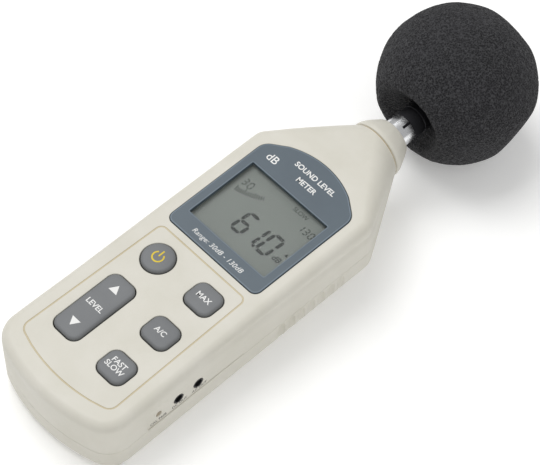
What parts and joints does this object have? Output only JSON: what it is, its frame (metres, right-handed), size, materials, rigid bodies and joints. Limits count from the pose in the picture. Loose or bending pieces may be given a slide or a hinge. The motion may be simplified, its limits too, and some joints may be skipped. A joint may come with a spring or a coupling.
{
  "type": "sound level meter",
  "caption": "Handheld sound level meter with a tapered neck, half-inch microphone, removable foam windscreen, display, push buttons and side output sockets.",
  "frame": {"origin": "centre of the mouth of the tripod thread on the flat back face", "axes": "+Y along the housing towards the microphone, +Z out of the face with the buttons and display, +X towards the side with the output sockets"},
  "size_m": [0.068, 0.2601, 0.068],
  "materials": {
    "housing": "fine textured moulded plastic",
    "cover": "fine textured moulded plastic",
    "bezel": "satin printed plate",
    "lens": "clear window",
    "lcd": "grey liquid crystal cell with a matt polariser",
    "dark_plastic": "black moulded plastic",
    "keys": "matt silicone rubber",
    "mat": "silicone rubber",
    "board": "green solder mask",
    "parts": "moulded electronic parts",
    "spring_metal": "stamped metal",
    "trimmer_blue": "blue moulded plastic",
    "rotor": "tan plastic",
    "chrome": "bright plated",
    "black_metal": "black anodised",
    "foam": "open-cell foam",
    "brass": "machined",
    "battery_case": "printed steel can",
    "pad": "foam rubber",
    "lead": "insulated wire",
    "rubber": "soft black rubber",
    "elastomer": "layered conductive rubber",
    "steel": "zinc plated"
  },
  "bodies": {
    "housing": {"front_shell": "housing", "back_shell": "housing", "nose_collar": "housing", "display_bezel": "bezel", "display_lens": "lens", "lcd_glass": "lcd", "lcd_frame": "dark_plastic", "zebra_strips": "elastomer", "main_board": "board", "board_chips": "parts", "dome_switches": "spring_metal", "keypad_mat": "mat", "ac_output_jack": "dark_plastic", "dc_output_jack": "dark_plastic", "trimmer_body": "trimmer_blue", "mic_sleeve": "chrome", "mic_grid": "black_metal", "mic_capsule": "spring_metal", "mic_board": "board", "mic_bush": "rubber", "mic_lead": "rubber", "tripod_insert": "brass", "battery": "battery_case", "battery_pad": "pad", "battery_snap": "dark_plastic", "battery_leads": "lead", "case_screws": "steel", "board_screws": "steel"},
    "power_key": {"power_button": "keys"},
    "max_key": {"max_button": "keys"},
    "ac_key": {"ac_button": "keys"},
    "fast_slow_key": {"fast_slow_button": "keys"},
    "level_key": {"level_button": "keys"},
    "cover": {"battery_cover": "cover"},
    "trimmer": {"trimmer_rotor": "rotor"},
    "foam_ball": {"windscreen": "foam"}
  },
  "joints": [
    {"name": "power_press", "type": "slide", "parent": "housing", "child": "power_key", "axis": [0, 0, -1], "range_m": [0, 0.0008], "stiffness_N_per_m": 1500, "springref_m": -0.0002},
    {"name": "max_press", "type": "slide", "parent": "housing", "child": "max_key", "axis": [0, 0, -1], "range_m": [0, 0.0008], "stiffness_N_per_m": 1500, "springref_m": -0.0002},
    {"name": "ac_press", "type": "slide", "parent": "housing", "child": "ac_key", "axis": [0, 0, -1], "range_m": [0, 0.0008], "stiffness_N_per_m": 1500, "springref_m": -0.0002},
    {"name": "fast_slow_press", "type": "slide", "parent": "housing", "child": "fast_slow_key", "axis": [0, 0, -1], "range_m": [0, 0.0008], "stiffness_N_per_m": 1500, "springref_m": -0.0002},
    {"name": "level_rock", "type": "hinge", "parent": "housing", "child": "level_key", "pos_m": [-0.0131, -0.0565, 0.0275], "axis": [1, 0, 0], "range_deg": [-2.5, 2.5], "stiffness_Nm_per_rad": 0.5},
    {"name": "cover_slide", "type": "slide", "parent": "housing", "child": "cover", "axis": [0, -1, 0], "range_m": [0, 0.05]},
    {"name": "trimmer_turn", "type": "hinge", "parent": "housing", "child": "trimmer", "pos_m": [0.03, -0.0652, 0.0185], "axis": [1, 0, 0], "range_deg": [-135, 135]},
    {"name": "windscreen_slide", "type": "slide", "parent": "housing", "child": "foam_ball", "axis": [0, 1, 0], "range_m": [0, 0.03]}
  ]
}
